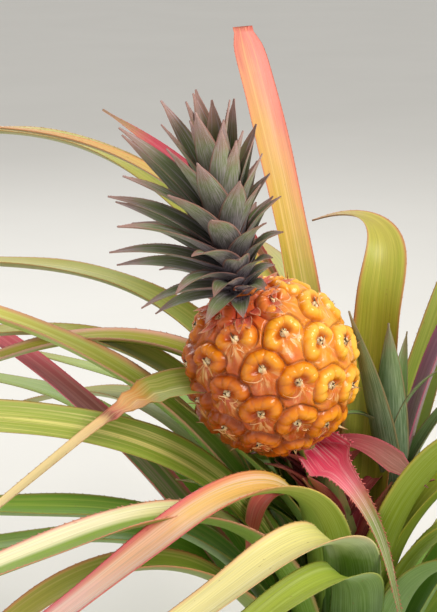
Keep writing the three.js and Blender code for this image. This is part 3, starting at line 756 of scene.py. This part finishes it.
def own_fan(x, y):
    """Where each point lies in the fan it belongs to, how far from the next fan, and the fan's height."""
    away = np.hypot(x, 0.75 * y) + 3 * np.clip(y + 1, 0, None)
    ranked = np.argsort(away, 1)
    x, y = picked(x, ranked[:, 0]), picked(y, ranked[:, 0])
    between = picked(away, ranked[:, 1]) - picked(away, ranked[:, 0])
    ridge = hill(x, 0, FAN.ridge_width) * smooth((-y - 1) / 4) * smooth((20 + y) / 10)
    wings = hill(np.abs(x), FAN.wing_at, FAN.wing_width) * smooth((-y - 3) / 5)
    groove = 1 - smooth(between / FAN.groove_width)
    return x, y, between, FAN.height + FAN.ridge * ridge + FAN.wing * wings - FAN.groove * groove


def fruit_skin_at(direction):
    """The skin's height in these directions, and what colours it there."""
    x, y, reach, tones = nearest_eyes(direction)
    depth, closed, turn, tone = own_horseshoe(x, y, reach, tones)
    fan_x, fan_y, between, fan = own_fan(x, y)
    tube = HORSESHOE.tube
    folds = (1 - np.abs(np.sin(HORSESHOE.folds * turn + 23 * tone))) ** 3
    lumps = 1.04 + HORSESHOE.lump * np.sin(HORSESHOE.lumps * turn + 17 * tone) - HORSESHOE.fold * folds
    puff = np.clip(1 - (depth / tube - 1) ** 2, 0, 1) ** HORSESHOE.fullness * closed * lumps
    within = smooth((depth + 0.2) / HORSESHOE.edge) * closed
    crease = hill(depth, -CREASE.outside, CREASE.width) * closed
    nearest = reach.min(1)
    well = (HORSESHOE.floor - EYE.depth * hill(nearest, 0, EYE.radius)) * smooth(depth / 5)
    swell = lerp(fan, well + HORSESHOE.height * puff, within) - CREASE.depth * crease - SKIN_SINK
    seam = 0.35 * (1 - smooth(between / 1.6)) * (1 - within)
    return dict(swell=swell, puff=puff, crease=np.maximum(crease, seam), fan=1 - within,
                eye=smooth((EYE.radius - nearest) / EYE.edge), well=within * smooth((depth - tube) / tube),
                ray=(1 - within) * smooth(between / 3), fan_x=fan_x, fan_y=fan_y, cell=tone)


def fruit_piece():
    polar = np.linspace(0, math.pi, FRUIT_ALONG + 1)[1:-1]
    polar, turn = (a.ravel() for a in np.meshgrid(polar, full_circle(FRUIT_AROUND), indexing="ij"))
    direction = np.stack([np.sin(polar) * np.cos(turn), np.sin(polar) * np.sin(turn), np.cos(polar)], -1)
    direction = np.vstack([direction, [[0, 0, 1], [0, 0, -1]]])
    skin = fruit_skin_at(direction)
    rows = FRUIT_ALONG - 1
    quads, _ = tube_faces(rows, FRUIT_AROUND)
    top, bottom, last = rows * FRUIT_AROUND, rows * FRUIT_AROUND + 1, (rows - 1) * FRUIT_AROUND
    here = np.arange(FRUIT_AROUND)
    after = (here + 1) % FRUIT_AROUND
    caps = np.concatenate([np.stack([here, after, np.full_like(here, top)], -1)[:, ::-1],
                           np.stack([last + here, last + after, np.full_like(here, bottom)], -1)])
    form = Form()
    form.add(on_fruit(direction, skin["swell"]), quads[:, ::-1], caps[:, ::-1], level=direction[:, 2], **skin)
    form.piece("fruit_skin", fruit_material(), "fruit", "fruit")


def fruit_material():
    g = Graph("fruit_skin")
    puff, crease, fan, eye, well, ray, x, y, cell, level = map(g.value, (
        "puff", "crease", "fan", "eye", "well", "ray", "fan_x", "fan_y", "cell", "level"))
    place = g.place()
    parts = g.node("SeparateXYZ", {0: place}).outputs
    blotch = g.noise(place, 60.0, 4.0)
    # Painted light and shade: the tone is lighter and yellower up and to the right, where the key light
    # falls, and darker down and to the left.
    tone = g.swayed(0.42, parts[0], 7.5, fruit_centre[0] * MM)
    tone = g.swayed(tone, parts[2], 6.5, fruit_centre[2] * MM)
    tone = g.swayed(tone, blotch, 0.7)
    tone = g.swayed(tone, cell, 0.2)
    # Painted highlight and shade: the tone is lighter on the horseshoes' crests and darker off them.
    tone = g.maths("ADD", tone, g.spread(puff, 0.25, 1.0, -0.2, 0.16))
    skin = g.ramp(tone, {0: "#96400a", 0.25: "#bc5c0c", 0.5: "#d87c10", 0.75: "#ec9a1e", 1: "#fabe48"})
    flesh = g.ramp(tone, {0: "#ae4c0c", 0.35: "#d47014", 0.65: "#ec9a2e", 1: "#fcc466"})
    pink = g.times(g.spread(g.noise(place, 130.0, 2.0), 0.46, 0.66), fan)
    colour = g.mix(g.times(fan, 0.9), skin, flesh)
    colour = g.mix(g.times(pink, 0.26), colour, "#dc6458")
    # Pale rays run out from each eye over its fan.
    reach = g.maths("SQRT", g.maths("ADD", g.times(x, x), g.times(y, y)))
    turn = g.maths("ARCTAN2", x, g.times(y, -1.0))
    rays = g.grain(turn, reach, g.times(cell, 40.0), (3.6, 0.1), 1.0, 2.0, 0.5)
    star = g.times(g.spread(rays, 0.48, 0.64), g.spread(reach, 18.0, 6.0))
    colour = g.mix(g.times(g.times(star, ray), 0.6), colour, "#f2c886")
    # The wells round the eyes are darker: partly their own deeper orange, partly painted shade in the
    # hollows.
    colour = g.mix(g.times(well, 0.7), colour, "#b4480c")
    # The creases and the seams between fans are darker: partly their own brown, partly painted shade.
    colour = g.mix(g.times(crease, 0.74), colour, g.ramp(blotch, {0.4: "#8e3a0c", 0.62: "#8a5a1c"}))
    collar = g.spread(g.maths("MULTIPLY_ADD", blotch, 0.24, level), 0.94, 1.06, 0.0, 0.6)
    colour = g.mix(collar, colour, "#cc4638")
    dried = g.ramp(g.noise(place, 900.0, 2.0), {0.35: "#6a4420", 0.52: "#d9b884", 0.7: "#f2e0b4"})
    colour = g.mix(eye, colour, dried)
    fine = g.noise(place, 700.0, 3.0)
    dull = g.maths("MAXIMUM", eye, crease)
    gloss = g.mix(dull, g.ramp(fine, {0.3: "#666666", 0.7: "#848484"}), "#d0d0d0")
    return g.finish(colour, gloss, fine, 0.12, 0.0004, {"Specular IOR Level": 0.42})


def add_fan_lines(form, k, out, rng):
    """The dry edges of a fruitlet's fan, and a few dry lines on it."""
    s = np.linspace(0, 1, FAN_LINE.points)
    lines = []
    for sign in (-1, 1):
        if rng.uniform() < FAN_LINE.chance:
            x = sign * (1.4 + rng.uniform(3.0, 12.0) * s)
            y = -5.2 - rng.uniform(0.5, 3.0) * np.sin(math.pi * s) + rng.uniform(-1.0, 4.0) * s ** 2
            lines.append((x, y, rng.uniform(0.4, 0.75)))
    for slope in rng.uniform(-0.7, 0.7, rng.integers(0, 3)):
        x = slope * (2.0 + 7.0 * s) + 0.35 * np.sin(s * 5 + 9 * cells[k])
        lines.append((x, -6.0 - rng.uniform(2.0, 8.0) * s, rng.uniform(0.3, 0.6)))
    for x, y, wide in lines:
        half = wide * (1 - FAN_LINE.narrowing * s)
        edges = []
        for across, lift in ((-1, FAN_LINE.flat), (0, FAN_LINE.crest), (1, FAN_LINE.flat)):
            offset = np.outer(x, rights[k]) + np.outer(y + half * across, rises[k])
            direction = unit(centres[k] + offset / FRUIT.radius)
            edges.append(on_fruit(direction, fruit_skin_at(direction)["swell"] + lift))
        along = (0.2 + 0.3 * s)[:, None] + np.zeros(3)
        add_sheet(form, np.stack(edges, 1), out, FAN_LINE.thickness, along=along, across=0.0, cell=cells[k])


def add_bract_tip(form, k, eye, out, up, side, rng):
    """The papery point that stands up over a fruitlet's eye."""
    length, width = rng.uniform(*BRACT_TIP.length), rng.uniform(*BRACT_TIP.width)
    s = np.linspace(0, 1, BRACT_TIP.rows)[:, None]
    t = np.linspace(-1, 1, BRACT_TIP.columns)[None, :]
    climb = -4.2 + 0.7 * length * s
    lift = 2.2 + rng.uniform(3.0, 9.0) * s ** 1.6 - 0.8 * s * t * t
    sway = rng.uniform(-0.3, 0.3) * length * s ** 2 + 0.5 * np.sin(s * 5)
    wide = width / 2 * (1 - s ** 1.1) + 0.1
    sheet = eye + up * climb[..., None] + side * (sway + wide * t)[..., None] + out * lift[..., None]
    add_sheet(form, sheet, out, BRACT_TIP.thickness, along=s + 0 * t, across=t + 0 * s, cell=cells[k])


def add_dried_flower(form, eye, out, up, side, rng):
    """Petals that lean together over the eye, with dark threads between them."""
    for j in range(FLOWER.petals):
        lean = 2 * math.pi * (j / FLOWER.petals + rng.uniform(-0.06, 0.06))
        foot = eye + (up * math.sin(lean) + side * math.cos(lean)) * FLOWER.radius
        peak = eye + out * rng.uniform(2.6, 4.4) + up * rng.uniform(-1.4, 1.6) + side * rng.uniform(-1.6, 1.6)
        add_tube(form, [foot - out * 0.6, (foot + peak) / 2 + out * 0.7, peak], FLOWER.petal,
                 shade=rng.uniform(0.0, 0.4))
    for _ in range(FLOWER.threads):
        away = up * rng.uniform(0.5, 4.0) + side * rng.uniform(-2.4, 2.4)
        stops = [eye + out * 1.6, eye + out * 3.6 + away * 0.4, eye + out * 4.8 + away]
        add_tube(form, stops, FLOWER.thread, shade=rng.uniform(0.75, 1.0))


def fruit_trim():
    papers, flowers = Form(), Form()
    rng = np.random.default_rng(SEED + 200)
    for k, centre in enumerate(centres):
        if centre[2] > UNDER_CROWN:
            continue
        out, up, side = (turned(v, fruit_axis) for v in (centre, rises[k], rights[k]))
        eye = on_fruit(centre, -FLOWER.sunk)
        add_fan_lines(papers, k, out, rng)
        add_bract_tip(papers, k, eye, out, up, side, rng)
        add_dried_flower(flowers, eye, out, up, side, rng)
    papers.piece("fruitlet_bract_tips", papery_material(), "fruit")
    flowers.piece("dried_flowers", dried_material(), "fruit")


def papery_material():
    g = Graph("papery_tips")
    along, across, cell = map(g.value, ("along", "across", "cell"))
    grain = g.grain(across, along, cell, *PAPER_GRAIN)
    colour = g.ramp(g.maths("MULTIPLY_ADD", grain, 0.3, g.maths("SUBTRACT", along, 0.15)),
                    {0: "#dd7a44", 0.3: "#ecb07a", 0.6: "#f5dcae", 0.85: "#d8b07a", 1: "#8a5a34"})
    return g.finish(colour, g.spread(grain, 0.2, 0.8, 0.5, 0.8), g.noise(g.place(), 1500.0), 0.3, 0.0003)


def dried_material():
    g = Graph("dried_flowers")
    grain = g.noise(g.place(), 1100.0)
    colour = g.ramp(g.maths("MULTIPLY_ADD", grain, 0.35, g.maths("SUBTRACT", g.value("shade"), 0.15)),
                    {0: "#f7ebc6", 0.4: "#e6cb96", 0.7: "#7a5330", 1: "#33231a"})
    return g.finish(colour, g.spread(grain, 0.2, 0.8, 0.6, 0.85), grain, 0.3, 0.0003)


fruit_piece()
fruit_trim()

# Crown


def crown_leaves(form, rng):
    lean = unit(CROWN.lean)
    seat = fruit_centre + fruit_axis * (FRUIT.half_height - CROWN.seat_sink)
    for k in range(CROWN_LEAVES.count):
        inner = k / (CROWN_LEAVES.count - 1)
        azimuth = GOLDEN_ANGLE * k + jitter(rng, CROWN_LEAVES.azimuth)
        fullness = math.sin(math.pi * lerp(CROWN.full_from, CROWN.full_to, inner))
        away = -math.cos(math.radians(azimuth - CROWN.long_side)) * (1 - inner)
        steepness = inner ** CROWN.rise_curve
        rise = lerp(CROWN.lowest_rise, CROWN.highest_rise, steepness) + CROWN.gather * away
        fall = lerp(CROWN.outer_fall, CROWN.inner_fall, inner) + jitter(rng, CROWN_LEAVES.fall)
        length = lerp(CROWN.shortest, CROWN.longest, fullness) * (1 - CROWN.shrink * away)
        length *= rng.uniform(*CROWN_LEAVES.length)
        height = lerp(CROWN.lowest_root, CROWN.core_height * CROWN.highest_root, inner)
        reach = CROWN.core_radius * (1 - height / CROWN.core_height) * CROWN.root_reach
        path = leaf_path(azimuth, rise + jitter(rng, CROWN_LEAVES.rise), fall, CROWN.bend, CROWN.span,
                         jitter(rng, CROWN_LEAVES.swing), length, around(azimuth, reach, height),
                         steps=CROWN_LEAVES.steps)
        add_blade(form, moved(path, lean, seat), lerp(CROWN.narrowest, CROWN.widest, fullness), rng,
                  roll=jitter(rng, CROWN_LEAVES.roll), **CROWN_BLADE)


crown = Form()
crown_leaves(crown, np.random.default_rng(SEED + 300))
crown.piece("crown_leaves", leaf_look("crown"), "crown", "crown")

# A collar of short red bracts lies on the fruit's top, round the crown's foot.
collar = Form()
for k in range(COLLAR.bracts):
    rng = np.random.default_rng(SEED + 700 + k)
    azimuth = GOLDEN_ANGLE * k
    polar = math.radians(rng.uniform(*COLLAR.polar))
    reach = FRUIT.radius - COLLAR.sink
    root = around(azimuth, reach * math.sin(polar), (FRUIT.half_height - COLLAR.sink) * math.cos(polar))
    path = leaf_path(azimuth, COLLAR.rise - math.degrees(polar), rng.uniform(*COLLAR.fall), 0.6, 0.8, 0,
                     rng.uniform(*COLLAR.length), root, steps=14)
    add_blade(collar, moved(path, fruit_axis, fruit_centre), rng.uniform(*COLLAR.width), rng,
              roll=jitter(rng, COLLAR.roll), **COLLAR_BLADE)
collar.piece("crown_collar", leaf_look("collar"), "crown")

# Stalk, its bracts and the stem


def stalk_points(shares):
    start = np.array([0, 0, STEM.height + STALK.gap])
    reach = FRUIT.half_height + FRUIT.relief / 2 + STALK.gap
    end = fruit_centre - fruit_axis * reach
    pulls = [start, start + [0, 0, STALK.lower_pull], end - fruit_axis * STALK.upper_pull, end]
    t = np.asarray(shares, float)[:, None]
    return ((1 - t) ** 3 * pulls[0] + 3 * (1 - t) ** 2 * t * pulls[1] + 3 * (1 - t) * t ** 2 * pulls[2]
            + t ** 3 * pulls[3])


def stalk_root(azimuth, share):
    """Where a bract stands on the stalk, at a share of the stalk's length."""
    t = np.linspace(0, 1, 201)
    steps = np.linalg.norm(np.diff(stalk_points(t), axis=0), axis=1)
    travelled = np.concatenate([[0], np.cumsum(steps)]) / steps.sum()
    return stalk_points([np.interp(share, travelled, t)])[0] + around(azimuth, STALK.radius - BRACT_SINK, 0)


for number, (name, azimuth, share, *course, width, spine, look) in enumerate(BRACTS):
    form = Form()
    path = leaf_path(azimuth, *course, stalk_root(azimuth, share), steps=60)
    add_blade(form, path, width, np.random.default_rng(SEED + 400 + number), name, spine=spine, **BRACT_BLADE)
    form.piece(name + "_blade", leaf_look(look), "bract", name)


def bark_material(name, stops, scale):
    g = Graph(name)
    stretched = g.node("Mapping", {"Vector": g.place(), "Scale": (1.0, 1.0, 0.25)}).outputs[0]
    fibre = g.noise(stretched, scale, 5.0)
    colour = g.mix(g.spread(g.value("ring"), 0.35, 0.0, 0.0, 0.7), g.ramp(fibre, stops), "#2f2114")
    return g.finish(colour, g.spread(fibre, 0.2, 0.8, 0.65, 0.9), fibre, 0.5, 0.001)


def stem_piece():
    """The stem's bark, with leaf scars that wind round it."""
    heights = np.linspace(0, STEM.height, STEM_BARK.rows)[:, None]
    turns = full_circle(STEM_BARK.columns)
    radii = np.array([stem_radius(h) for h in heights[:, 0]])[:, None]
    winding = heights / STEM_BARK.scar_height + turns / (2 * math.pi)
    scar = np.abs(winding % 1.0 - 0.5) * 2
    ribs = STEM_BARK.rib * np.sin(turns * STEM_BARK.ribs + heights * STEM_BARK.twist)
    radius = radii + np.where(heights > 1, STEM_BARK.relief * (scar - 0.5) + ribs, 0)
    points = np.stack([radius * np.cos(turns), radius * np.sin(turns), heights + 0 * radius], -1)
    form = Form()
    form.add(points, *tube_faces(STEM_BARK.rows, STEM_BARK.columns), ring=scar.ravel())
    bark = bark_material("stem_bark", {0.3: "#4a3a26", 0.5: "#7a6844", 0.7: "#9c8c5c"}, 160.0)
    form.piece("stem_bark", bark, "stem", "stem")


stem_piece()

turns = full_circle(STALK_SKIN.sides)
ribs = STALK.radius + STALK_SKIN.rib * np.sin(turns * STALK_SKIN.ribs) - STALK_SKIN.sink
stalk = Form()
middle = stalk_points(np.linspace(0, 1, STALK_SKIN.rows))
add_tube(stalk, middle, ribs[None, :], STALK_SKIN.sides, STALK_SKIN.beside, ring=1.0)
skin = bark_material("stalk_skin", {0.3: "#5f6a34", 0.5: "#86904a", 0.7: "#a88c5c"}, 220.0)
stalk.piece("stalk_skin", skin, "stalk", "fruit_stalk")

# Young leaves round the back of the stalk's foot. In front they would hide the bracts.
heart = Form()
for k in range(HEART.leaves):
    rng = np.random.default_rng(SEED + 800 + k)
    azimuth = lerp(*HEART.azimuths, (k + 0.5) / HEART.leaves) + jitter(rng, HEART.jitter)
    root = around(azimuth, STEM.top - BLADE.root_sink, STEM.height - HEART.sink)
    path = leaf_path(azimuth, rng.uniform(*HEART.rise), rng.uniform(*HEART.fall), 0.5, 0.8, 0,
                     rng.uniform(*HEART.length), root, steps=40)
    add_blade(heart, path, rng.uniform(*HEART.width), rng, **HEART_BLADE)
heart.piece("heart_leaves", leaf_look("green"), "leaf")

small_bracts = Form()
for k in range(SMALL_BRACTS.count):
    rng = np.random.default_rng(SEED + 500 + k)
    share = lerp(*SMALL_BRACTS.shares, k / (SMALL_BRACTS.count - 1))
    azimuth = GOLDEN_ANGLE * k + SMALL_BRACTS.first_azimuth
    off_front = abs((azimuth - SMALL_BRACTS.clear_of + 180) % 360 - 180)
    if off_front < SMALL_BRACTS.clear_by and share > SMALL_BRACTS.clear_above:
        continue
    path = leaf_path(azimuth, lerp(*SMALL_BRACTS.rise, share), rng.uniform(*SMALL_BRACTS.fall), 0.6, 0.8, 0,
                     lerp(*SMALL_BRACTS.length, share), stalk_root(azimuth, share), steps=24)
    add_blade(small_bracts, path, lerp(*SMALL_BRACTS.width, share), rng, **SMALL_BRACT_BLADE)
small_bracts.piece("small_bracts", leaf_look("red_bract"), "bract")

# Side shoot

foot = around(SUCKER.azimuth, SUCKER.root_radius, SUCKER.bottom)
levels = np.linspace(0, 1, SHOOT.rows)
sucker = Form()
add_tube(sucker, foot + np.outer(levels, [0, 0, SUCKER.height]), lerp(SUCKER.foot, SUCKER.top, levels),
         SHOOT.sides, along=0.1, across=0.0, under=1.0, seed=3.0)
for number, (azimuth, share, rise, fall, length, width) in enumerate(SUCKER_LEAVES):
    path = leaf_path(azimuth, rise, fall, SUCKER.bend, SUCKER.span, 0, length,
                     foot + [0, 0, share * SUCKER.height], steps=40)
    add_blade(sucker, path, width, np.random.default_rng(SEED + 600 + number), **SUCKER_BLADE)
sucker.piece("sucker_leaves", leaf_look("sucker"), "sucker", "sucker")

# Floor, light and camera

PICTURE = (437, 612)
LENS, SENSOR = 105, 36
PITCH = math.radians(15)
FRUIT_SEEN_AT = (271, 366)
FRUIT_DISTANCE = 1.116
FLOOR_SIZE = 40
# name, place, target, size, watts, colour
LIGHTS = [
    ("key", (0.95, -0.9, 1.5), (-0.05, 0, 0.3), 1.0, 27, (1.0, 0.95, 0.87)),
    ("fill", (-1.5, -1.2, 0.9), (0, 0, 0.3), 1.6, 5, (1.0, 0.99, 0.97)),
    ("rim", (-0.6, 1.5, 1.5), (0, 0, 0.3), 1.2, 12, (1.0, 1.0, 1.0)),
]
WORLD = Sizes(colour=(1.0, 0.98, 0.945, 1.0), strength=0.62)


def stage_floor():
    mesh = bpy.data.meshes.new("floor")
    h = FLOOR_SIZE / 2
    mesh.from_pydata([(-h, -h, 0), (h, -h, 0), (h, h, 0), (-h, h, 0)], [], [(0, 1, 2, 3)])
    floor = bpy.data.objects.new("floor", mesh)
    bpy.context.scene.collection.objects.link(floor)
    g = Graph("floor")
    mesh.materials.append(g.finish(g.ramp(g.noise(g.place(), 3.0), {0.3: "#e6e5e1", 0.7: "#e9e8e4"}), 0.9))


def area_light(name, place, target, size, watts, colour):
    data = bpy.data.lights.new(name, "AREA")
    data.shape, data.size, data.energy, data.color = "DISK", size, watts, colour
    made = bpy.data.objects.new(name, data)
    made.location = place
    made.rotation_euler = (Vector(target) - Vector(place)).to_track_quat("-Z", "Y").to_euler()
    bpy.context.scene.collection.objects.link(made)


def studio_world():
    world = bpy.data.worlds.new("studio")
    world.use_nodes = True
    background = world.node_tree.nodes["Background"]
    background.inputs[0].default_value = WORLD.colour
    background.inputs[1].default_value = WORLD.strength
    bpy.context.scene.world = world
    bpy.context.scene.view_settings.view_transform = "Standard"


def photo_camera():
    """A camera that sees the fruit's middle where the photograph shows it."""
    data = bpy.data.cameras.new("camera")
    data.lens, data.sensor_fit, data.sensor_height = LENS, "VERTICAL", SENSOR
    camera = bpy.data.objects.new("camera", data)
    focal = LENS / SENSOR * PICTURE[1]
    up = Vector((0, math.sin(PITCH), math.cos(PITCH)))
    ahead = Vector((0, math.cos(PITCH), -math.sin(PITCH)))
    across = (FRUIT_SEEN_AT[0] - PICTURE[0] / 2) * FRUIT_DISTANCE / focal
    down = (FRUIT_SEEN_AT[1] - PICTURE[1] / 2) * FRUIT_DISTANCE / focal
    fruit = Vector(FRUIT.centre) * MM
    camera.location = fruit - Vector((across, 0, 0)) + up * down - ahead * FRUIT_DISTANCE
    camera.rotation_euler = (math.pi / 2 - PITCH, 0, 0)
    bpy.context.scene.collection.objects.link(camera)
    bpy.context.scene.camera = camera


stage_floor()
for light in LIGHTS:
    area_light(*light)
studio_world()
photo_camera()
